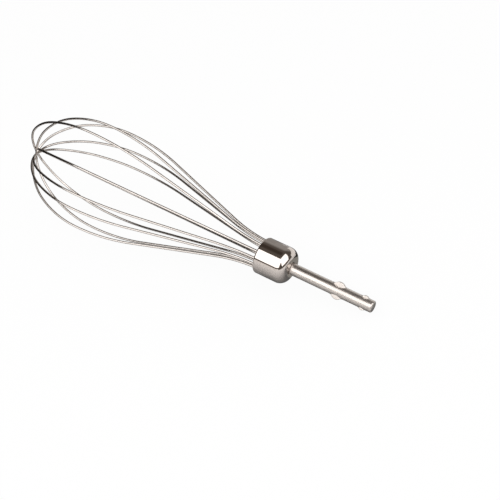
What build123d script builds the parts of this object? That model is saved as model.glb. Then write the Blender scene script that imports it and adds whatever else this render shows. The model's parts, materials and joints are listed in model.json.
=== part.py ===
from build123d import *
import os
from math import asin, atan2, cos, degrees, hypot, radians, sin, sqrt

# Balloon whisk for a hand mixer, lying at rest on a table.
# Lengths are in millimetres and angles in degrees. Heights run along the whisk from the
# end of the shaft to the crown of the wires. Angles turn about that line.

# Drive shaft, with a collar and two flats inside the ferrule
shaft_d = 6.0
shaft_edge_r = 0.7
collar_d = 8.4
collar_t = 1.2
key_across = 4.8
key_length = 9.0
key_edge = 0.3

# Ears pressed out of the shaft, between dents that the punches leave
ear_angle = 70.0
ear_t = 1.5
ear_edge_r = 0.3
ear_sink = 0.1
ear_toe_share = 0.4
big_ear_height = 19.0
big_ear_length = 7.6
big_ear_reach = 4.35
big_dent_length = 6.2
big_dent_depth = 1.0
small_ear_height = 5.1
small_ear_length = 4.2
small_ear_reach = 3.65
small_dent_length = 3.2
small_dent_depth = 0.6

# Ferrule, a drawn cup with its neck turned in round the shaft and its rim curled in
ferrule_d = 18.8
ferrule_wall = 0.6
ferrule_mouth_height = 62.3
ferrule_length = 17.4
ferrule_roll_r = 1.35
ferrule_neck = 1.2
ferrule_rim_r = 1.0
ferrule_lip_r = 0.25

# Hub that holds the wires
hub_recess = 2.0
hub_rim_r = 0.5
wire_hold = 10.0

# Clearances of the seats and of the holes
seat_gap = 0.05
hole_gap = 0.04

# Wires: each loop crosses the crown just outside the one before it
wire_d = 1.2
leg_circle_r = 7.0
loop_step = -30.0
crown_height = 204.9
crown_pitch = 1.4

# Bends of a leg from the crown to the hub: radius, and the turn reached at its end. The
# taper between the flank and the flare is straight, and its slope follows from the rest.
nose_r = 19.0
nose_turn = 37.5
shoulder_r = 39.5
shoulder_turn = 67.0
belly_r = 64.0
flank_r = 122.0
flare_r = 90.0
bend_room_share = 0.98

# How each loop was bent by hand: turn of its crown about the whisk, shift of its crown,
# straight length at the foot of its first and its second leg, and its fullness
loop_bends = [
    (-4.5, 0.0, 4.8, 4.8, 1.00),
    (-1.5, -0.3, 10.2, 5.3, 0.99),
    (10.5, -0.4, 8.8, 8.9, 0.99),
    (6.0, 0.0, 8.9, 8.9, 1.00),
    (0.5, -0.6, 12.5, 8.5, 1.00),
    (0.5, -3.1, 11.9, 3.0, 1.03),
]

# Steps along a leg, and rounds, that find where the whisk touches the table
line_steps = 500
settle_steps = 12

# Places that follow from the sizes
loop_count = len(loop_bends)
wire_r = wire_d / 2
shaft_r = shaft_d / 2
ferrule_r = ferrule_d / 2
neck_r = shaft_r + seat_gap
crest_r = neck_r + ferrule_roll_r
ferrule_shoulder_r = ferrule_r - crest_r
ferrule_back_height = ferrule_mouth_height - ferrule_length
ferrule_shoulder_height = ferrule_back_height + ferrule_shoulder_r
neck_top_height = ferrule_back_height + ferrule_roll_r + ferrule_neck
collar_height = neck_top_height + seat_gap
hub_base_height = collar_height + collar_t + seat_gap
hub_top_height = ferrule_mouth_height - hub_recess
foot_height = hub_top_height - wire_hold


def loop_crown(loop):
    """Height of a loop's crown. A crown shifted sideways is raised by what it drops again
    before it crosses the middle line, so that the loops stay stacked there."""
    turn, shift, *straights, fullness = loop_bends[loop]
    bend_r = nose_r * fullness
    return crown_height + crown_pitch * loop + bend_r - sqrt(bend_r**2 - shift**2)


def leg_drift(loop):
    """How far the foot lies beside the plane of the crown, back at its regular place."""
    return leg_circle_r * sin(radians(loop_bends[loop][0]))


def turned(plane, angle):
    """The same plane, turned about its own Z."""
    x_dir = plane.x_dir * cos(radians(angle)) + plane.y_dir * sin(radians(angle))
    return Plane(origin=plane.origin, x_dir=x_dir, z_dir=plane.z_dir)


def leg_plane(whisk, loop, side):
    """Plane of one leg: X outwards at the crown, Y down the leg to its foot."""
    crown = turned(whisk, loop_step * loop + loop_bends[loop][0] + 180 * side)
    crown = crown.offset(loop_crown(loop))
    down = crown.z_dir * (foot_height - loop_crown(loop)) - crown.y_dir * leg_drift(loop)
    return Plane(origin=crown.origin, x_dir=crown.x_dir, z_dir=crown.x_dir.cross(down))


def leg_path(whisk, loop, side):
    """Bends of one leg in turn: nose, shoulder, belly, flank, taper, flare and straight. The
    taper is the line that touches the arcs of the flank and the flare on opposite sides, and
    both arcs are limited by the room between the belly and the foot, as a fillet is."""
    turn, shift, *straights, fullness = loop_bends[loop]
    sign = 1 - 2 * side
    foot_r = leg_circle_r * cos(radians(turn))
    foot_drop = hypot(loop_crown(loop) - foot_height, leg_drift(loop))
    plane = leg_plane(whisk, loop, side)
    with BuildLine(plane) as leg:
        nose = JernArc((sign * shift, 0), (1, 0), nose_r * fullness, nose_turn)
        shoulder = JernArc(nose @ 1, nose % 1, shoulder_r * fullness, shoulder_turn - nose_turn)
        belly = JernArc(shoulder @ 1, shoulder % 1, belly_r * fullness, 90 - shoulder_turn)
        widest = plane.to_local_coords(belly @ 1)
        apart = foot_drop - straights[side] - widest.Y
        inward = widest.X - foot_r
        room_r = (apart**2 + inward**2) / (2 * inward)
        ease = min(1, bend_room_share * room_r / (flank_r * fullness + flare_r))
        flank_bend_r = ease * flank_r * fullness
        flare_bend_r = ease * flare_r
        both_r = flank_bend_r + flare_bend_r
        taper_turn = degrees(asin(both_r / hypot(apart, both_r - inward)) - atan2(both_r - inward, apart))
        flank = JernArc(belly @ 1, belly % 1, flank_bend_r, taper_turn)
        fall = plane.to_local_coords(flank @ 1).X - foot_r - flare_bend_r * (1 - cos(radians(taper_turn)))
        taper = Line(flank @ 1, flank @ 1 + (flank % 1) * (fall / sin(radians(taper_turn))))
        flare = JernArc(taper @ 1, taper % 1, flare_bend_r, -taper_turn)
        Line(flare @ 1, flare @ 1 + (flare % 1) * straights[side])
    return leg.line


def leg_root(whisk, loop, side):
    """The end of a leg that passes into the hub: its flare and its straight length."""
    bends = leg_path(whisk, loop, side).edges()
    return Wire(bends.sort_by(Axis(whisk.origin, whisk.z_dir))[:2])


def settle():
    """Direction of down, in the whisk's own axes, when it lies on the first legs of its two
    outer loops and on the end of its shaft: the normal of the plane through these points."""
    lines = []
    for loop in (loop_count - 2, loop_count - 1):
        path = Wire(leg_path(Plane.XY, loop, 0).edges())
        lines.append([path @ (step / line_steps) for step in range(line_steps + 1)])
    down = turned(Plane.XY, loop_step * (loop_count - 2)).x_dir
    edge_circle_r = shaft_r - shaft_edge_r
    for _ in range(settle_steps):
        touching = [max(line, key=down.dot) + down * wire_r for line in lines]
        outward = Vector(down.X, down.Y, 0).normalized()
        touching.append(outward * edge_circle_r + Vector(0, 0, shaft_edge_r) + down * shaft_edge_r)
        normal = (touching[1] - touching[0]).cross(touching[2] - touching[0]).normalized()
        down = normal if normal.dot(outward) > 0 else -normal
    return down, touching


def lying_plane():
    """The whisk's own axes placed on the table, with the origin under the middle of its
    box: the shaft's end points to +X, and down is -Z."""
    down, touching = settle()
    along = (Vector(0, 0, -1) - down * Vector(0, 0, -1).dot(down)).normalized()
    table = Plane(origin=(0, 0, 0), x_dir=along, z_dir=-down)
    end = table.to_local_coords(Vector(0, 0, 0))
    own_x = table.to_local_coords(Vector(1, 0, 0)) - end
    own_z = table.to_local_coords(Vector(0, 0, 1)) - end
    whisk = Plane(origin=(0, 0, 0), x_dir=own_x, z_dir=own_z)
    legs = [leg_path(whisk, loop, side) for loop in range(loop_count) for side in (0, 1)]
    boxes = [leg.bounding_box() for leg in legs]
    near_x = min(box.min.X for box in boxes) - wire_r
    far_x = shaft_edge_r + (shaft_r - shaft_edge_r) * hypot(own_z.Y, own_z.Z) - shaft_edge_r * abs(own_z.X)
    near_y = min(box.min.Y for box in boxes) - wire_r
    far_y = max(box.max.Y for box in boxes) + wire_r
    floor = min(table.to_local_coords(point).Z for point in touching)
    return Plane(
        origin=(-(near_x + far_x) / 2, -(near_y + far_y) / 2, -floor), x_dir=own_x, z_dir=own_z
    )


whisk = lying_plane()
section = Plane(origin=whisk.origin, x_dir=whisk.x_dir, z_dir=-whisk.y_dir)
long_axis = Axis(whisk.origin, whisk.z_dir)


# Drive shaft
def key_section(gap):
    """Round bar with two flats, larger all round by a gap."""
    Circle(shaft_r + gap)
    Rectangle(collar_d, key_across + 2 * gap, mode=Mode.INTERSECT)


def ear_plane(side):
    """Plane of one ear: X along the whisk, Y outwards from its middle line."""
    frame = turned(whisk, ear_angle + 180 * side)
    return Plane(origin=whisk.origin, x_dir=frame.z_dir, z_dir=frame.y_dir)


def press_ear(side, height, length, reach, dent_length, dent_depth):
    """Press one ear: a punch on each side dents the bar and squeezes out a thin ear. Its
    outline swells out of the bar and back again in three tangent arcs."""
    plane = ear_plane(side)
    punch_r = ((dent_length / 2) ** 2 + dent_depth**2) / (2 * dent_depth)
    with BuildSketch(plane, mode=Mode.PRIVATE) as punch:
        with Locations((height, shaft_r - dent_depth + punch_r)):
            Circle(punch_r)
    for direction in (1, -1):
        extrude(
            punch.sketch.moved(Location(plane.z_dir * direction * ear_t / 2)),
            amount=direction * shaft_d,
            mode=Mode.SUBTRACT,
        )
    toe_level = shaft_r - ear_sink
    bend = 2 * degrees(atan2(reach - toe_level, length / 2))
    bends_r = length / 2 / sin(radians(bend))
    toe_r = ear_toe_share * bends_r
    with BuildSketch(plane, mode=Mode.PRIVATE) as ear:
        with BuildLine():
            toe = JernArc((height - length / 2, toe_level), (1, 0), toe_r, bend)
            dome = JernArc(toe @ 1, toe % 1, bends_r - toe_r, -2 * bend)
            heel = JernArc(dome @ 1, dome % 1, toe_r, bend)
            Polyline(heel @ 1, (height + length / 2, 0), (height - length / 2, 0), toe @ 0)
        make_face()
    blank = extrude(ear.sketch, amount=ear_t / 2, both=True, mode=Mode.PRIVATE)
    add(blank.fillet(ear_edge_r, blank.edges().filter_by(GeomType.CIRCLE)))


with BuildPart() as drive_shaft:
    with BuildSketch(whisk):
        Circle(shaft_r)
    extrude(amount=hub_base_height)
    fillet(drive_shaft.edges().sort_by(long_axis)[0], shaft_edge_r)
    with BuildSketch(whisk.offset(collar_height)):
        Circle(collar_d / 2)
    extrude(amount=collar_t)
    with BuildSketch(whisk.offset(hub_base_height)):
        key_section(0)
    extrude(amount=key_length)
    chamfer(drive_shaft.faces().sort_by(long_axis)[-1].edges(), key_edge)
    for side in (0, 1):
        press_ear(side, big_ear_height, big_ear_length, big_ear_reach, big_dent_length, big_dent_depth)
        press_ear(
            side, small_ear_height, small_ear_length, small_ear_reach, small_dent_length, small_dent_depth
        )
drive_shaft.part.label = "drive_shaft"

# Ferrule
with BuildPart() as ferrule:
    with BuildSketch(section):
        with BuildLine():
            rim = JernArc((ferrule_r - ferrule_rim_r, ferrule_mouth_height), (1, 0), ferrule_rim_r, -90)
            outside = Line(rim @ 1, (ferrule_r, ferrule_shoulder_height))
            turn = JernArc(outside @ 1, outside % 1, ferrule_shoulder_r, -90)
            rolled = JernArc(turn @ 1, turn % 1, ferrule_roll_r, -90)
            neck = Line(rolled @ 1, rolled @ 1 + Vector(0, ferrule_neck))
            lip = Line(neck @ 1, neck @ 1 + Vector(ferrule_wall, 0))
            inner_neck = Line(lip @ 1, lip @ 1 - Vector(0, ferrule_neck))
            inner_roll = JernArc(inner_neck @ 1, inner_neck % 1, ferrule_roll_r - ferrule_wall, 90)
            inner_turn = JernArc(inner_roll @ 1, inner_roll % 1, ferrule_shoulder_r - ferrule_wall, 90)
            inside = Line(inner_turn @ 1, (ferrule_r - ferrule_wall, ferrule_mouth_height - ferrule_rim_r))
            inner_rim = JernArc(inside @ 1, inside % 1, ferrule_rim_r - ferrule_wall, 90)
            Line(inner_rim @ 1, rim @ 0)
        make_face()
    revolve(axis=long_axis)
    cut_edge = ferrule.faces().filter_by(GeomType.CYLINDER).sort_by(long_axis)[-1]
    fillet(cut_edge.edges(), ferrule_lip_r)
ferrule.part.label = "ferrule"

# Wire hub
hub_r = ferrule_r - ferrule_wall - hole_gap
hub_shoulder_r = ferrule_shoulder_r - ferrule_wall - hole_gap
with BuildPart() as wire_hub:
    with BuildSketch(section):
        with BuildLine():
            top = Line((0, hub_top_height), (hub_r, hub_top_height))
            side_wall = Line(top @ 1, (hub_r, ferrule_shoulder_height))
            under = JernArc(side_wall @ 1, side_wall % 1, hub_shoulder_r, -90)
            bottom = Line(under @ 1, (0, ferrule_shoulder_height - hub_shoulder_r))
            Line(bottom @ 1, top @ 0)
        make_face()
        with Locations((hub_r / 2, (hub_base_height + hub_top_height) / 2)):
            Rectangle(hub_r, hub_top_height - hub_base_height, mode=Mode.INTERSECT)
    revolve(axis=long_axis)
    fillet(wire_hub.faces().sort_by(long_axis)[-1].edges(), hub_rim_r)
    with BuildSketch(whisk.offset(hub_base_height)):
        key_section(seat_gap)
    extrude(amount=key_length + seat_gap, mode=Mode.SUBTRACT)
    for loop in range(loop_count):
        for side in (0, 1):
            root = leg_root(whisk, loop, side)
            with BuildSketch(Plane(origin=root @ 0, z_dir=root % 0), mode=Mode.PRIVATE) as hole:
                Circle(wire_r + hole_gap)
            sweep(hole.sketch, path=root, mode=Mode.SUBTRACT)
wire_hub.part.label = "wire_hub"

# Wire loops
wire_loops = []
for loop in range(loop_count):
    with BuildPart() as wire_loop:
        for side in (0, 1):
            path = Wire(leg_path(whisk, loop, side).edges())
            with BuildSketch(Plane(origin=path @ 0, z_dir=path % 0), mode=Mode.PRIVATE) as wire_section:
                Circle(wire_r)
            sweep(wire_section.sketch, path=path)
    wire_loop.part.label = f"wire_loop_{loop + 1}"
    wire_loops.append(wire_loop)

os.makedirs("parts", exist_ok=True)
for piece in [drive_shaft, ferrule, wire_hub, *wire_loops]:
    export_step(piece.part, f"parts/{piece.part.label}.step")
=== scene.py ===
import json

import bpy
import numpy as np
from mathutils import Matrix, Vector


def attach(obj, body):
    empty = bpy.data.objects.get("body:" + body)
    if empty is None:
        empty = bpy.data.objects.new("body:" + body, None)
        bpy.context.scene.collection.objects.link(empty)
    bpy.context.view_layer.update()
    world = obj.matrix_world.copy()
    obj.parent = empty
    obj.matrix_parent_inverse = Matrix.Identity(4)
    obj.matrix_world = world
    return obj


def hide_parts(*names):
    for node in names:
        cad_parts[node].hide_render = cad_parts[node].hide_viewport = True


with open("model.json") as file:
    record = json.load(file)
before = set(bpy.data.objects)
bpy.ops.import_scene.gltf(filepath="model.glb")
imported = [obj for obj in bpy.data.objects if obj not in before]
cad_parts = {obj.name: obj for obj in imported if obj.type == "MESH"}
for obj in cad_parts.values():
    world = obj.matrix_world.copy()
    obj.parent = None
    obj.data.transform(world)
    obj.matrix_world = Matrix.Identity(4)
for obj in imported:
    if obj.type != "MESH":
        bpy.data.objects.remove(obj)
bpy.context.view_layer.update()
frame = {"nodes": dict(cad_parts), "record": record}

# Drive shaft
# A bar of ground stainless steel. Its end is turned square and left dull, inside a rounded
# edge. Punches squeeze two pairs of ears out of it cold, and leave a shallow dent beside
# each. A collar and two flats inside the ferrule hold the bar in the hub.
MM = 0.001
shaft_r = 3.0 * MM
shaft_edge_r = 0.7 * MM
collar_r = 4.2 * MM
collar_height = 47.5 * MM
collar_t = 1.2 * MM
key_half = 2.4 * MM
key_start = 48.75 * MM
key_end = 57.75 * MM
key_edge = 0.3 * MM
ear_angle = np.radians(70.0)
ear_half_t = 0.75 * MM
ear_round = 0.22 * MM
ear_toe_share = 0.4
ear_sink = 0.1 * MM

# Both kinds of ear: the ear itself, the dent beside it, and the fine mesh over both, with
# how far it runs to each side of the ear's middle and its count of rows
small_ear = {
    "height": 5.1 * MM, "length": 4.2 * MM, "reach": 3.65 * MM,
    "dent": 3.2 * MM, "depth": 0.6 * MM,
    "fine": 2.3 * MM, "rows": 61,
}
big_ear = {
    "height": 19.0 * MM, "length": 7.6 * MM, "reach": 4.35 * MM,
    "dent": 6.2 * MM, "depth": 1.0 * MM,
    "fine": 4.1 * MM, "rows": 91,
}

# The rest of the shaft's mesh: the heights of its rows on the plain bar, and its columns on
# each side of an ear's plane, from and to in degrees and their count
plain_rows = np.array([30.0, 40.0, 46.0]) * MM
ear_columns = [(0, 24, 37), (25, 52, 28), (54, 88, 12)]

# Two rows this close keep an edge crisp, and no radius is divided by less than the sine of
# this angle, in radians
crisp = 0.02 * MM
least_angle = 0.02

# The whisk lies on the table with its own line sloping up to the crown: the record's
# mount at the shaft's end gives that line, and the roll turns the loops about it.
end_face = next(m for m in frame["record"]["mounts"] if m["name"] == "shaft_end")
whisk_roll = np.radians(51.237)
line_dir = -np.array(end_face["axis"]) / np.linalg.norm(end_face["axis"])
shaft_end = np.array(end_face["pos_m"])
upright = np.cross([0, 1, 0], line_dir)
upright = upright / np.linalg.norm(upright)
side_x = np.cos(whisk_roll) * np.array([0, -1, 0]) + np.sin(whisk_roll) * upright
side_y = np.cross(line_dir, side_x)


def placed(x, y, height):
    """Points of the row's frame from the whisk's own: x and y beside its line, height from
    the end of the shaft towards the crown."""
    return shaft_end + x[..., None] * side_x + y[..., None] * side_y + height[..., None] * line_dir


def skin(name, rings, joined=False):
    """A closed smooth mesh through rings of points, (rings, points, 3). Neighbouring rings
    are joined by four-sided faces. The last ring is joined to the first, as in a torus, or
    each end ring is closed by a fan of triangles round its middle point."""
    rows, cols = rings.shape[:2]
    points = rings.reshape(-1, 3)
    i = np.arange(rows if joined else rows - 1)[:, None]
    j = np.arange(cols)[None, :]
    near, far = i * cols, (i + 1) % rows * cols
    quads = np.stack([near + j, near + (j + 1) % cols, far + (j + 1) % cols, far + j], axis=-1)
    faces = quads.reshape(-1, 4).tolist()
    if not joined:
        k = np.arange(cols)
        first, last = len(points), len(points) + 1
        points = np.vstack([points, rings[0].mean(axis=0), rings[-1].mean(axis=0)])
        faces += np.stack([np.full(cols, first), (k + 1) % cols, k], axis=-1).tolist()
        top = (rows - 1) * cols
        faces += np.stack([np.full(cols, last), top + k, top + (k + 1) % cols], axis=-1).tolist()
    mesh = bpy.data.meshes.new(name)
    mesh.from_pydata(points.tolist(), [], faces)
    mesh.shade_smooth()
    mesh.update()
    piece = bpy.data.objects.new(name, mesh)
    bpy.context.scene.collection.objects.link(piece)
    return piece


def smooth_least(a, b, width):
    """The smaller of two fields, with the crease between them rounded over a width."""
    share = np.clip(0.5 + 0.5 * (b - a) / width, 0, 1)
    return b + (a - b) * share - width * share * (1 - share)


def smooth_most(a, b, width):
    """The larger of two fields, with the crease between them rounded over a width."""
    return -smooth_least(-a, -b, width)


def ear_outline(height, ear):
    """How far an ear reaches at each height: a toe arc that curves out of the bar, a dome
    arc back over the top and a heel arc, all tangent, with the bar's line beyond them."""
    toe_level = shaft_r - ear_sink
    half = ear["length"] / 2
    bend = 2 * np.arctan2(ear["reach"] - toe_level, half)
    bends_r = half / np.sin(bend)
    toe_r = ear_toe_share * bends_r
    dome_r = bends_r - toe_r
    along = np.abs(height - ear["height"])
    dome = ear["reach"] - dome_r + np.sqrt(np.clip(dome_r**2 - along**2, 0, None))
    from_toe = np.clip(half - along, 0, None)
    toe = toe_level + toe_r - np.sqrt(np.clip(toe_r**2 - from_toe**2, 0, None))
    reach = np.where(along < dome_r * np.sin(bend), dome, toe)
    return np.where(along < half, reach, 0.0)


def pressed(radius, height, away, ear):
    """Radius of the bar with one ear and its dents. Away is the angle from the ear's plane.
    The dent is a trough across the bar, an arc along it. The ear is a plate of one
    thickness, whose side is met at half the thickness over the sine of the angle."""
    away = np.minimum(np.abs(away), np.pi / 2 - least_angle)
    half, depth = ear["dent"] / 2, ear["depth"]
    punch_r = (half**2 + depth**2) / (2 * depth)
    along = np.clip(np.abs(height - ear["height"]), 0, punch_r)
    floor = shaft_r - depth + punch_r - np.sqrt(punch_r**2 - along**2)
    dented = smooth_least(radius, floor / np.cos(away), ear_round)
    plate = ear_half_t / np.maximum(np.sin(away), least_angle)
    raised = smooth_least(ear_outline(height, ear) / np.cos(away), plate, ear_round)
    return smooth_most(dented, raised, ear_round)


def shaft_rings():
    """Rings of the shaft: its radius is a function of the angle and the height, with extra
    rows over the ears and extra columns beside them. The two ends are flat."""
    quarter = np.radians(np.concatenate([np.linspace(*columns) for columns in ear_columns]))
    fan = np.concatenate([-quarter[:0:-1], quarter])
    angle = np.concatenate([fan + ear_angle, fan + ear_angle + np.pi])
    edge = np.linspace(0, np.pi / 2, 9)
    edge_height = shaft_edge_r * (1 - np.cos(edge))
    edge_radius = shaft_r - shaft_edge_r * (1 - np.sin(edge))
    over_ears = [
        np.linspace(ear["height"] - ear["fine"], ear["height"] + ear["fine"], ear["rows"])
        for ear in (small_ear, big_ear)
    ]
    height = np.concatenate([edge_height, *over_ears, plain_rows])
    bar = np.concatenate([edge_radius, np.full(len(height) - len(edge), shaft_r)])
    away = np.angle(np.exp(1j * 2 * (angle - ear_angle))) / 2
    radius = bar[:, None] + 0 * angle[None, :]
    past_edge = height > shaft_edge_r
    for ear in (small_ear, big_ear):
        near = past_edge & (np.abs(height - ear["height"]) < ear["length"])
        radius[near] = pressed(radius[near], height[near][:, None], away[None, :], ear)
    collar_top = collar_height + collar_t
    steps = [
        (collar_height - crisp, shaft_r, None), (collar_height, shaft_r, None),
        (collar_height, collar_r - crisp, None), (collar_height + crisp, collar_r, None),
        (collar_top - crisp, collar_r, None), (collar_top, collar_r - crisp, None),
        (key_start - crisp, shaft_r, None), (key_start, shaft_r, key_half),
        (key_end - key_edge, shaft_r, key_half), (key_end, shaft_r - key_edge, key_half - key_edge),
    ]
    lower = [np.full(len(angle), r) for _, r, _ in steps]
    for ring, (_, _, half) in zip(lower, steps):
        if half is not None:
            np.minimum(ring, half / np.maximum(np.abs(np.sin(angle)), least_angle), out=ring)
    height = np.concatenate([height, [h for h, _, _ in steps]])
    radius = np.vstack([radius, lower])
    return placed(radius * np.cos(angle), radius * np.sin(angle), height[:, None] + 0 * angle)


def whisk_place(nodes, links):
    """Coordinates in the whisk's own frame, so that a pattern runs along or round its line."""
    place = nodes.new("ShaderNodeTexCoord")
    turn = nodes.new("ShaderNodeMapping")
    turn.vector_type = "TEXTURE"
    turn.inputs["Location"].default_value = shaft_end
    axes = Matrix([side_x, side_y, line_dir]).transposed()
    turn.inputs["Rotation"].default_value = axes.to_euler()
    links.new(place.outputs["Object"], turn.inputs["Vector"])
    return turn.outputs["Vector"]


# How many clouds of polish lie in a metre, and the products of the two noises up to which
# the steel is polished and from which it is dull
cloud_scale = 160.0
polished_below, dull_above = 0.15, 0.38


def finish_lines():
    """Node group for the marks of grinding, drawing and buffing. Noise stretched by a
    vector makes fine lines, and broad soft noise makes the polish uneven. Out come the
    height of the lines, the roughness between two limits and the colour, a little darker
    where the polish is dull."""
    group = bpy.data.node_groups.new("finish_lines", "ShaderNodeTree")
    for socket, kind in (("Place", "NodeSocketVector"), ("Stretch", "NodeSocketVector"),
                         ("Bright", "NodeSocketColor"), ("Dull", "NodeSocketColor"),
                         ("Smooth", "NodeSocketFloat"), ("Rough", "NodeSocketFloat")):
        group.interface.new_socket(socket, in_out="INPUT", socket_type=kind)
    for socket, kind in (("Height", "NodeSocketFloat"), ("Roughness", "NodeSocketFloat"),
                         ("Color", "NodeSocketColor")):
        group.interface.new_socket(socket, in_out="OUTPUT", socket_type=kind)
    nodes, links = group.nodes, group.links
    given = nodes.new("NodeGroupInput")
    made = nodes.new("NodeGroupOutput")
    stretched = nodes.new("ShaderNodeVectorMath")
    stretched.operation = "MULTIPLY"
    links.new(given.outputs["Place"], stretched.inputs[0])
    links.new(given.outputs["Stretch"], stretched.inputs[1])
    lines = nodes.new("ShaderNodeTexNoise")
    lines.inputs["Scale"].default_value = 1.0
    lines.inputs["Detail"].default_value = 4.0
    links.new(stretched.outputs["Vector"], lines.inputs["Vector"])
    clouds = nodes.new("ShaderNodeTexNoise")
    clouds.inputs["Scale"].default_value = cloud_scale
    clouds.inputs["Detail"].default_value = 3.0
    links.new(given.outputs["Place"], clouds.inputs["Vector"])
    mixed = nodes.new("ShaderNodeMath")
    mixed.operation = "MULTIPLY"
    links.new(lines.outputs["Fac"], mixed.inputs[0])
    links.new(clouds.outputs["Fac"], mixed.inputs[1])
    dullness = nodes.new("ShaderNodeMapRange")
    dullness.inputs["From Min"].default_value = polished_below
    dullness.inputs["From Max"].default_value = dull_above
    links.new(mixed.outputs["Value"], dullness.inputs["Value"])
    limits = nodes.new("ShaderNodeMapRange")
    links.new(dullness.outputs["Result"], limits.inputs["Value"])
    links.new(given.outputs["Smooth"], limits.inputs["To Min"])
    links.new(given.outputs["Rough"], limits.inputs["To Max"])
    tone = nodes.new("ShaderNodeMix")
    tone.data_type = "RGBA"
    links.new(dullness.outputs["Result"], tone.inputs["Factor"])
    links.new(given.outputs["Bright"], tone.inputs["A"])
    links.new(given.outputs["Dull"], tone.inputs["B"])
    links.new(lines.outputs["Fac"], made.inputs["Height"])
    links.new(limits.outputs["Result"], made.inputs["Roughness"])
    links.new(tone.outputs["Result"], made.inputs["Color"])
    return group


steel_lines = finish_lines()


def steel(name, place_of, stretch, smooth, rough, depth, bright, dull):
    """Bare stainless steel: a metal with the lines of its finish in roughness and bump."""
    material = bpy.data.materials.new(name)
    material.use_nodes = True
    nodes, links = material.node_tree.nodes, material.node_tree.links
    shader = nodes["Principled BSDF"]
    shader.inputs["Metallic"].default_value = 1.0
    lines = nodes.new("ShaderNodeGroup")
    lines.node_tree = steel_lines
    lines.inputs["Stretch"].default_value = stretch
    lines.inputs["Smooth"].default_value = smooth
    lines.inputs["Rough"].default_value = rough
    lines.inputs["Bright"].default_value = (*bright, 1)
    lines.inputs["Dull"].default_value = (*dull, 1)
    links.new(place_of(nodes, links), lines.inputs["Place"])
    bump = nodes.new("ShaderNodeBump")
    bump.inputs["Distance"].default_value = depth
    links.new(lines.outputs["Height"], bump.inputs["Height"])
    links.new(lines.outputs["Color"], shader.inputs["Base Color"])
    links.new(lines.outputs["Roughness"], shader.inputs["Roughness"])
    links.new(bump.outputs["Normal"], shader.inputs["Normal"])
    return material


def turned_place(nodes, links):
    """Distance from the whisk's line, so that a pattern makes rings round it."""
    flat = nodes.new("ShaderNodeVectorMath")
    flat.operation = "MULTIPLY"
    flat.inputs[1].default_value = (1, 1, 0)
    links.new(whisk_place(nodes, links), flat.inputs[0])
    distance = nodes.new("ShaderNodeVectorMath")
    distance.operation = "LENGTH"
    links.new(flat.outputs["Vector"], distance.inputs[0])
    return distance.outputs["Value"]


bar_rings = shaft_rings()
shaft = skin("drive_shaft_bar", bar_rings)
shaft.data.materials.append(steel(
    "ground_bar_steel", whisk_place, stretch=(4000, 4000, 90), smooth=0.29, rough=0.38, depth=0.8e-6,
    bright=(0.64, 0.595, 0.56), dull=(0.58, 0.535, 0.5)))
shaft.data.materials.append(steel(
    "turned_end_steel", turned_place, stretch=(5200, 1, 1), smooth=0.4, rough=0.5, depth=3e-6,
    bright=(0.42, 0.4, 0.38), dull=(0.34, 0.325, 0.31)))
# The end face is the first fan after the four-sided faces. It was turned, not ground.
rows, cols = bar_rings.shape[:2]
cap_start = (rows - 1) * cols
for face in shaft.data.polygons[cap_start:cap_start + cols]:
    face.material_index = 1
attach(shaft, "root")
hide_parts("drive_shaft")

# Wire hub
# A plug moulded of plastic in the ferrule. It grips the flats of the shaft and the ends of
# the wires, and only its top can be seen, between the wires at the ferrule's mouth.
hub_plastic = bpy.data.materials.new("moulded_hub_plastic")
hub_plastic.use_nodes = True
hub_nodes, hub_links = hub_plastic.node_tree.nodes, hub_plastic.node_tree.links
hub_shader = hub_nodes["Principled BSDF"]
hub_grain = hub_nodes.new("ShaderNodeTexNoise")
hub_grain.inputs["Scale"].default_value = 2600.0
hub_grain.inputs["Detail"].default_value = 5.0
hub_cloud = hub_nodes.new("ShaderNodeTexNoise")
hub_cloud.inputs["Scale"].default_value = 220.0
hub_tone = hub_nodes.new("ShaderNodeMix")
hub_tone.data_type = "RGBA"
hub_tone.inputs["A"].default_value = (0.5, 0.5, 0.49, 1)
hub_tone.inputs["B"].default_value = (0.58, 0.575, 0.56, 1)
hub_gloss = hub_nodes.new("ShaderNodeMapRange")
hub_gloss.inputs["To Min"].default_value = 0.42
hub_gloss.inputs["To Max"].default_value = 0.6
hub_bump = hub_nodes.new("ShaderNodeBump")
hub_bump.inputs["Distance"].default_value = 12e-6
hub_place = hub_nodes.new("ShaderNodeTexCoord")
hub_links.new(hub_place.outputs["Object"], hub_grain.inputs["Vector"])
hub_links.new(hub_place.outputs["Object"], hub_cloud.inputs["Vector"])
hub_links.new(hub_cloud.outputs["Fac"], hub_tone.inputs["Factor"])
hub_links.new(hub_cloud.outputs["Fac"], hub_gloss.inputs["Value"])
hub_links.new(hub_grain.outputs["Fac"], hub_bump.inputs["Height"])
hub_links.new(hub_tone.outputs["Result"], hub_shader.inputs["Base Color"])
hub_links.new(hub_gloss.outputs["Result"], hub_shader.inputs["Roughness"])
hub_links.new(hub_bump.outputs["Normal"], hub_shader.inputs["Normal"])
hub = frame["nodes"]["wire_hub"]
hub.data.materials.clear()
hub.data.materials.append(hub_plastic)

# Ferrule
# A cup deep-drawn from thin stainless sheet and buffed to a mirror. Its back turns over a
# full shoulder and rolls in round the shaft. Its rim is curled in over the hub a little,
# and the cut edge is broken smooth.
ferrule_r = 9.4 * MM
ferrule_wall = 0.6 * MM
mouth_height = 62.3 * MM
rim_r = 1.0 * MM
lip_r = 0.25 * MM
shoulder_r = 5.0 * MM
shoulder_height = 49.9 * MM
roll_r = 1.35 * MM
roll_height = 46.25 * MM
neck_top = 47.45 * MM


def arc(middle, radius, start, end, count):
    """Points of an arc in the section, radius from the line and height, angles in degrees."""
    turn = np.radians(np.linspace(start, end, count))
    return np.stack([middle[0] + radius * np.cos(turn), middle[1] + radius * np.sin(turn)], axis=-1)


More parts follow.
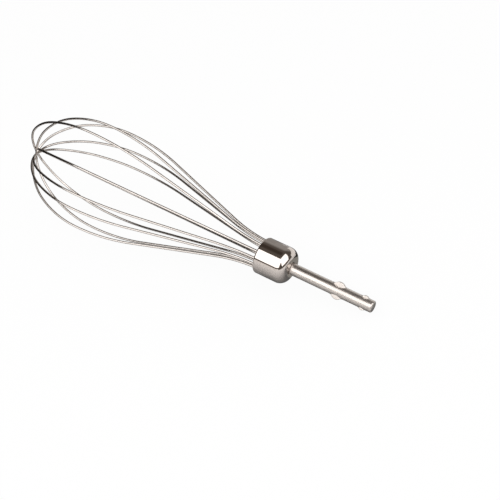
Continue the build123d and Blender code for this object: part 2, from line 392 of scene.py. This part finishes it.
def ferrule_rings(count=288):
    """The closed section of the cup, carried once round the whisk's line. Two arcs about one
    middle curl the rim in, and each meets the rounding of the cut edge where the distance
    of their middles is the difference, or inside the sum, of their radii."""
    crest = ferrule_r - shoulder_r
    neck_r = crest - roll_r
    neck_bore_r = neck_r + ferrule_wall
    rim_height = mouth_height - rim_r
    edge_r = ferrule_r - rim_r
    inner_rim_r = rim_r - ferrule_wall
    to_top, to_bottom = rim_r - lip_r, inner_rim_r + lip_r
    top_turn = np.degrees(np.arccos(lip_r / to_top))
    bottom_turn = np.degrees(np.arccos(lip_r / to_bottom))
    top_height = rim_height + np.sqrt(to_top**2 - lip_r**2)
    bottom_height = rim_height + np.sqrt(to_bottom**2 - lip_r**2)
    wall = np.linspace(rim_height, shoulder_height, 12)[1:-1]
    section = np.concatenate([
        arc((edge_r + lip_r, top_height), lip_r, 180, top_turn, 9),
        arc((edge_r, rim_height), rim_r, top_turn, 0, 15)[1:],
        np.stack([np.full(len(wall), ferrule_r), wall], axis=-1),
        arc((crest, shoulder_height), shoulder_r, 0, -90, 37),
        arc((crest, roll_height), roll_r, -90, -180, 19)[1:],
        np.array([[neck_r, neck_top - crisp], [neck_r + crisp, neck_top]]),
        np.array([[neck_bore_r - crisp, neck_top], [neck_bore_r, neck_top - crisp]]),
        arc((crest, roll_height), roll_r - ferrule_wall, -180, -90, 15),
        arc((crest, shoulder_height), shoulder_r - ferrule_wall, -90, 0, 31)[1:],
        np.stack([np.full(len(wall), ferrule_r - ferrule_wall), wall[::-1]], axis=-1),
        arc((edge_r, rim_height), inner_rim_r, 0, bottom_turn, 9),
        arc((edge_r + lip_r, bottom_height), lip_r, 180 + bottom_turn, 180, 7)[1:],
    ])
    angle = np.linspace(0, 2 * np.pi, count, endpoint=False)
    radius, height = section[:, :1], section[:, 1:]
    return placed(radius * np.cos(angle), radius * np.sin(angle), height + 0 * angle)


ferrule = skin("ferrule_cup", ferrule_rings(), joined=True)
ferrule.data.materials.append(steel(
    "mirror_buffed_steel", whisk_place, stretch=(60, 60, 5200), smooth=0.045, rough=0.1, depth=0.35e-6,
    bright=(0.655, 0.6, 0.565), dull=(0.6, 0.55, 0.515)))
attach(ferrule, "root")
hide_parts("ferrule")

# Wire loops
# Six lengths of hard bright stainless spring wire, each bent by hand into one loop and set
# with both ends in the hub. Each loop crosses the crown just outside the one before it, a
# twelfth of a turn further round.
wire_r = 0.6 * MM
leg_circle_r = 7.0 * MM
loop_step = -30.0
crown_height = 204.9 * MM
crown_pitch = 1.4 * MM
foot_height = 50.3 * MM
nose_r, nose_turn = 19.0 * MM, 37.5
shoulder_bend_r, shoulder_turn = 39.5 * MM, 67.0
belly_r, belly_turn = 64.0 * MM, 90.0
flank_r = 122.0 * MM
flare_r = 90.0 * MM

# How each loop was bent: turn of its crown, shift of its crown in millimetres, straight
# length at the foot of its first and its second leg in millimetres, and its fullness
loop_bends = [
    (-4.5, 0.0, 4.8, 4.8, 1.00),
    (-1.5, -0.3, 10.2, 5.3, 0.99),
    (10.5, -0.4, 8.8, 8.9, 0.99),
    (6.0, 0.0, 8.9, 8.9, 1.00),
    (0.5, -0.6, 12.5, 8.5, 1.00),
    (0.5, -3.1, 11.9, 3.0, 1.03),
]

# The most that two rows of a wire's mesh lie apart, on a bend and on a straight run
bend_step = 0.7 * MM
straight_step = 2.8 * MM


def bend(point, radius, start, end):
    """Points after the first of an arc that starts at a point, and their headings. The
    heading turns from start to end in degrees, left where it grows and right where it
    falls, and the middle lies a radius to that side."""
    turn = np.radians([start, end])
    count = int(np.ceil(abs(turn[1] - turn[0]) * radius / bend_step)) + 1
    heading = np.linspace(turn[0], turn[1], count + 1)[1:]
    side = radius if end > start else -radius
    middle = point + side * np.array([-np.sin(turn[0]), np.cos(turn[0])])
    return middle + side * np.stack([np.sin(heading), -np.cos(heading)], axis=-1), heading


def straight(point, heading, length):
    """Points after the first of a straight run, and their headings."""
    heading = np.radians(heading)
    count = int(np.ceil(length / straight_step)) + 1
    run = np.linspace(0, length, count + 1)[1:, None]
    return point + run * np.array([np.cos(heading), np.sin(heading)]), np.full(count, heading)


def leg(loop, side):
    """One leg from the crown to its foot in the plane that holds it: the line, its
    directions and the normal of the plane. The plane leans a little where the crown was
    turned, so that the foot stands in its regular place. The taper is the line that
    touches the arcs of the flank and the flare on opposite sides."""
    turn, shift, *straights, fullness = loop_bends[loop]
    sign = 1 - 2 * side
    shift = shift * MM
    nose = nose_r * fullness
    crown = crown_height + crown_pitch * loop + nose - np.sqrt(nose**2 - shift**2)
    drift = leg_circle_r * np.sin(np.radians(turn))
    foot_r = leg_circle_r * np.cos(np.radians(turn))
    straight_start = np.hypot(crown - foot_height, drift) - straights[side] * MM
    line, heading = [np.array([[sign * shift, 0.0]])], [np.zeros(1)]

    def add(points, angles):
        line.append(points)
        heading.append(angles)
        return points[-1]

    end = add(*bend(line[0][0], nose, 0, nose_turn))
    end = add(*bend(end, shoulder_bend_r * fullness, nose_turn, shoulder_turn))
    end = add(*bend(end, belly_r * fullness, shoulder_turn, belly_turn))
    both_r = flank_r * fullness + flare_r
    apart, inward = straight_start - end[1], end[0] - foot_r
    slope = np.arcsin(both_r / np.hypot(apart, both_r - inward)) - np.arctan2(both_r - inward, apart)
    taper_heading = belly_turn + np.degrees(slope)
    end = add(*bend(end, flank_r * fullness, belly_turn, taper_heading))
    fall = end[0] - foot_r - flare_r * (1 - np.cos(slope))
    end = add(*straight(end, taper_heading, fall / np.sin(slope)))
    end = add(*bend(end, flare_r, taper_heading, belly_turn))
    add(*straight(end, belly_turn, straights[side] * MM))
    line, heading = np.concatenate(line), np.concatenate(heading)
    about = np.radians(loop_step * loop + turn + 180 * side)
    out = np.cos(about) * side_x + np.sin(about) * side_y
    across = np.cross(line_dir, out)
    down = line_dir * (foot_height - crown) - across * drift
    down = down / np.linalg.norm(down)
    start = shaft_end + crown * line_dir
    points = start + line[:, :1] * out + line[:, 1:] * down
    ways = np.cos(heading)[:, None] * out + np.sin(heading)[:, None] * down
    return points, ways, np.cross(out, down)


def wire_rings(loop, count=20):
    """A circle of points carried square to the loop's line, from the foot of its second
    leg over the crown to the foot of its first. Also each point's own place on the skin:
    round the wire in x and y, along it in z."""
    first, first_way, first_normal = leg(loop, 0)
    second, second_way, second_normal = leg(loop, 1)
    line = np.vstack([second[::-1], first[1:]])
    way = np.vstack([-second_way[::-1], first_way[1:]])
    binormal = np.vstack([
        np.repeat(-second_normal[None, :], len(second), axis=0),
        np.repeat(first_normal[None, :], len(first) - 1, axis=0),
    ])
    normal = np.cross(way, binormal)
    angle = np.linspace(0, 2 * np.pi, count, endpoint=False)
    ring = np.cos(angle)[:, None] * normal[:, None, :] + np.sin(angle)[:, None] * binormal[:, None, :]
    along = np.concatenate([[0], np.cumsum(np.linalg.norm(np.diff(line, axis=0), axis=1))])
    place = np.stack(np.broadcast_arrays(
        wire_r * np.cos(angle), wire_r * np.sin(angle), along[:, None]), axis=-1)
    return line[:, None, :] + wire_r * ring, place


def wire_place(nodes, links):
    """The place on a wire's own skin, which the mesh holds as an attribute."""
    place = nodes.new("ShaderNodeAttribute")
    place.attribute_name = "wire_skin"
    return place.outputs["Vector"]


wire_steel = steel(
    "bright_drawn_wire", wire_place, stretch=(9000, 9000, 140), smooth=0.1, rough=0.19, depth=0.5e-6,
    bright=(0.66, 0.615, 0.58), dull=(0.57, 0.53, 0.5))
for loop in range(len(loop_bends)):
    rings, place = wire_rings(loop)
    wire = skin(f"wire_{loop + 1}", rings)
    ends = np.array([place[0].mean(axis=0), place[-1].mean(axis=0)])
    wire_skin = wire.data.attributes.new("wire_skin", "FLOAT_VECTOR", "POINT")
    wire_skin.data.foreach_set("vector", np.vstack([place.reshape(-1, 3), ends]).ravel())
    wire.data.materials.append(wire_steel)
    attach(wire, "root")
    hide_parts(f"wire_loop_{loop + 1}")

# Table
# A plain white table top, whose colour carries a painted shade: an occlusion node darkens it
# where the whisk stands over it. What the camera sees of it
# is nearly all plain white, and the steel mirrors mostly the matt white under the lights.
table_half = 0.42
table_open = (0.95, 0.95, 0.95, 1)
table_shaded = (0.05, 0.05, 0.05, 1)
shade_reach = 0.08
shade_depth = 3.8
white_in_picture = 0.97
white_in_mirrors = 0.1
table_mesh = bpy.data.meshes.new("table_top")
corners = [(-table_half, -table_half, 0), (table_half, -table_half, 0),
           (table_half, table_half, 0), (-table_half, table_half, 0)]
table_mesh.from_pydata(corners, [], [(0, 1, 2, 3)])
table_top = bpy.data.objects.new("table_top", table_mesh)
bpy.context.scene.collection.objects.link(table_top)
table_white = bpy.data.materials.new("table_white")
table_white.use_nodes = True
table_nodes, table_links = table_white.node_tree.nodes, table_white.node_tree.links
table_shader = table_nodes["Principled BSDF"]
table_shader.inputs["Roughness"].default_value = 0.9
table_shader.inputs["Specular IOR Level"].default_value = 0.0
# Painted shade: the base colour runs from open white to near black where the whisk hides the sky from
# the table
open_sky = table_nodes.new("ShaderNodeAmbientOcclusion")
open_sky.samples = 12
open_sky.inputs["Distance"].default_value = shade_reach
shade = table_nodes.new("ShaderNodeMath")
shade.operation = "POWER"
shade.inputs[1].default_value = shade_depth
table_links.new(open_sky.outputs["AO"], shade.inputs[0])
table_tone = table_nodes.new("ShaderNodeMix")
table_tone.data_type = "RGBA"
table_tone.inputs["A"].default_value = table_shaded
table_tone.inputs["B"].default_value = table_open
table_links.new(shade.outputs["Value"], table_tone.inputs["Factor"])
table_links.new(table_tone.outputs["Result"], table_shader.inputs["Base Color"])
plain_white = table_nodes.new("ShaderNodeEmission")
plain_white.inputs["Strength"].default_value = 1.0
seen = table_nodes.new("ShaderNodeLightPath")
mirrored = table_nodes.new("ShaderNodeMath")
mirrored.operation = "MAXIMUM"
table_links.new(seen.outputs["Is Glossy Ray"], mirrored.inputs[0])
table_links.new(seen.outputs["Is Transmission Ray"], mirrored.inputs[1])
mirrored_share = table_nodes.new("ShaderNodeMath")
mirrored_share.operation = "MULTIPLY"
mirrored_share.inputs[1].default_value = white_in_mirrors
table_links.new(mirrored.outputs["Value"], mirrored_share.inputs[0])
white_share = table_nodes.new("ShaderNodeMath")
white_share.operation = "MULTIPLY_ADD"
white_share.inputs[1].default_value = white_in_picture
table_links.new(seen.outputs["Is Camera Ray"], white_share.inputs[0])
table_links.new(mirrored_share.outputs["Value"], white_share.inputs[2])
table_mix = table_nodes.new("ShaderNodeMixShader")
table_links.new(white_share.outputs["Value"], table_mix.inputs["Fac"])
table_links.new(table_shader.outputs["BSDF"], table_mix.inputs[1])
table_links.new(plain_white.outputs["Emission"], table_mix.inputs[2])
table_links.new(table_mix.outputs["Shader"], table_nodes["Material Output"].inputs["Surface"])
table_mesh.materials.append(table_white)

# Studio
# Two large softboxes stand before the whisk and beyond the end of its shaft. Low cards
# stand round it and lie on the table behind its ferrule, and their edges draw the lines in
# the steel: they glow and are seen only in the steel, as painted reflections and, lying on the
# table, a painted shadow. The rest of the room is dark, but the camera sees plain white instead.


def direction(azimuth, elevation):
    """Unit vector of an azimuth from +X towards +Y and an elevation, both in degrees."""
    azimuth, elevation = np.radians(azimuth), np.radians(elevation)
    level = np.cos(elevation)
    return np.array([np.cos(azimuth) * level, np.sin(azimuth) * level, np.sin(elevation)])


def softbox(name, azimuth, elevation, distance, width, height, radiance):
    """A rectangular area lamp that faces the whisk. The steel mirrors it, and the camera
    doesn't see it. Its power is pi times its area times its radiance."""
    lamp = bpy.data.lights.new(name, "AREA")
    lamp.shape = "RECTANGLE"
    lamp.size, lamp.size_y = width, height
    lamp.energy = np.pi * width * height * radiance
    light = bpy.data.objects.new(name, lamp)
    bpy.context.scene.collection.objects.link(light)
    away = Vector(direction(azimuth, elevation))
    light.location = away * distance
    light.rotation_euler = away.to_track_quat("Z", "Y").to_euler()
    light.visible_camera = False


softbox("front_softbox", azimuth=-96.0, elevation=42.0, distance=1.0,
        width=1.3, height=1.04, radiance=2.0)
softbox("side_softbox", azimuth=-8.0, elevation=44.0, distance=1.0,
        width=1.09, height=1.2, radiance=1.8)


def card(name, corner, first, second, tone):
    """A card that glows with one plain tone, a painted reflection which only the steel sees
    and which lights nothing and casts no shadow; lying dark on the table it is a painted
    shadow. It is given by a corner and the two edges that leave it, as vectors."""
    corner, first, second = np.array(corner), np.array(first), np.array(second)
    mesh = bpy.data.meshes.new(name)
    corners = np.array([corner, corner + first, corner + first + second, corner + second])
    mesh.from_pydata(corners.tolist(), [], [(0, 1, 2, 3)])
    sheet = bpy.data.objects.new(name, mesh)
    bpy.context.scene.collection.objects.link(sheet)
    finish = bpy.data.materials.new(name)
    finish.use_nodes = True
    nodes, links = finish.node_tree.nodes, finish.node_tree.links
    glow = nodes.new("ShaderNodeEmission")
    glow.inputs["Color"].default_value = (*tone, 1)
    links.new(glow.outputs["Emission"], nodes["Material Output"].inputs["Surface"])
    sheet.data.materials.append(finish)
    sheet.visible_camera = False
    sheet.visible_shadow = False
    sheet.visible_diffuse = False


# Grey and white cards stand behind the whisk, a black one beyond its crown and a pale one
# in front of it: painted reflections, which glow for the steel only and light nothing
card("grey_card", (-0.13, 0.062, 0), (0.158, 0, 0), (0, 0, 0.062), (0.34, 0.325, 0.31))
card("white_card", (0.028, 0.085, 0), (0.122, 0, 0), (0, 0, 0.05), (1.0, 0.98, 0.95))
card("black_card", (-0.13, -0.11, 0), (0, 0.172, 0), (0, 0, 0.06), (0.02, 0.018, 0.016))
card("front_card", (-0.3, -0.41, 0), (0.5, 0, 0), (0, 0, 0.06), (0.92, 0.89, 0.86))

# A black, a dark and a grey card lie just over the table, behind the ferrule and the shaft: painted
# shadow on the table, glowing sheets seen only in the steel
card_lift = 0.0004
card("shadow_line_card", (-0.02, 0.026, card_lift), (0.105, 0, 0), (0, 0.012, 0), (0.03, 0.03, 0.028))
card("back_shadow_card", (-0.02, 0.038, card_lift), (0.095, 0, 0), (0, 0.0235, 0), (0.1, 0.095, 0.09))
card("near_shadow_card", (0.045, 0.002, card_lift), (0.065, 0, 0), (0, 0.024, 0), (0.3, 0.3, 0.28))

world = bpy.data.worlds.new("studio_room")
bpy.context.scene.world = world
world.use_nodes = True
room, room_links = world.node_tree.nodes, world.node_tree.links
room_light = room["Background"]
room_white = room.new("ShaderNodeBackground")
room_white.inputs["Strength"].default_value = 1.0
room_white.inputs["Color"].default_value = (1, 1, 1, 1)
room_seen = room.new("ShaderNodeLightPath")
room_mix = room.new("ShaderNodeMixShader")
room_links.new(room_seen.outputs["Is Camera Ray"], room_mix.inputs["Fac"])
room_links.new(room_light.outputs["Background"], room_mix.inputs[1])
room_links.new(room_white.outputs["Background"], room_mix.inputs[2])
room_links.new(room_mix.outputs["Shader"], room["World Output"].inputs["Surface"])
room_place = room.new("ShaderNodeTexCoord")


def wall(tone, color, azimuth, elevation, full, edge):
    """Lay a round soft patch of a colour over a tone of the room: whole within one angle of
    its middle and gone at the other, by the cosine of the angle to the middle."""
    way = room.new("ShaderNodeVectorMath")
    way.operation = "DOT_PRODUCT"
    way.inputs[1].default_value = direction(azimuth, elevation)
    room_links.new(room_place.outputs["Generated"], way.inputs[0])
    patch = room.new("ShaderNodeMapRange")
    patch.interpolation_type = "SMOOTHSTEP"
    patch.inputs["From Min"].default_value = np.cos(np.radians(edge))
    patch.inputs["From Max"].default_value = np.cos(np.radians(full))
    room_links.new(way.outputs["Value"], patch.inputs["Value"])
    laid = room.new("ShaderNodeMix")
    laid.data_type = "RGBA"
    room_links.new(patch.outputs["Result"], laid.inputs["Factor"])
    room_links.new(tone, laid.inputs["A"])
    laid.inputs["B"].default_value = (*color, 1)
    return laid.outputs["Result"]


# Over the dark room lie a paler wall behind the whisk, a darker patch overhead and a black
# wall beyond the crown
dark_room = room.new("ShaderNodeRGB")
dark_room.outputs["Color"].default_value = (0.115, 0.098, 0.085, 1)
room_tone = dark_room.outputs["Color"]
room_tone = wall(room_tone, (0.37, 0.355, 0.34), azimuth=108.0, elevation=15.0, full=20.0, edge=42.0)
room_tone = wall(room_tone, (0.055, 0.042, 0.034), azimuth=150.0, elevation=69.0, full=3.0, edge=16.0)
room_tone = wall(room_tone, (0.02, 0.018, 0.016), azimuth=-172.0, elevation=20.0, full=28.0, edge=42.0)
room_links.new(room_tone, room_light.inputs["Color"])
room_light.inputs["Strength"].default_value = 1.0

# Camera
# It stands where the photograph was taken from. The whisk's line slopes down to the right
# across the picture, with its crown further away than the end of its shaft.
picture_slope = np.radians(25.301)
picture_tilt = np.radians(23.177)
picture_roll = np.radians(-4.582)

# How far the shaft's end is from the camera, and right of and below the picture's middle
camera_distance = 0.47984
shaft_end_right = 0.05781
shaft_end_down = 0.02683

lens_mm = 73.73
sensor_mm = 36.0


def picture_axes():
    """The picture's axes right, down and towards the camera, in the row's frame. The
    whisk's line, the side of it that faces the camera and the side across both are known
    in the picture and in the row's frame, and each axis is the sum of its shares in them."""
    slope, tilt, roll = picture_slope, picture_tilt, picture_roll
    line = np.array([-np.cos(slope) * np.cos(tilt), -np.sin(slope) * np.cos(tilt), -np.sin(tilt)])
    facing = (np.array([0, 0, 1]) + np.sin(tilt) * line) / np.cos(tilt)
    across = np.array([-np.sin(slope), np.cos(slope), 0])
    first = np.cos(roll) * facing + np.sin(roll) * across
    second = np.cos(roll) * across - np.sin(roll) * facing
    turn = np.outer(first, side_x) - np.outer(second, side_y) + np.outer(line, line_dir)
    return turn[0], turn[1], turn[2]


right, down, towards = picture_axes()
eye = bpy.data.cameras.new("photo_camera")
eye.lens = lens_mm
eye.sensor_width = sensor_mm
eye.clip_start = 0.01
camera = bpy.data.objects.new("photo_camera", eye)
bpy.context.scene.collection.objects.link(camera)
stand = shaft_end - right * shaft_end_right - down * shaft_end_down + towards * camera_distance
pose = Matrix([right, -down, towards]).transposed().to_4x4()
pose.translation = Vector(stand)
camera.matrix_world = pose
bpy.context.scene.camera = camera
bpy.context.scene.view_settings.view_transform = "Standard"
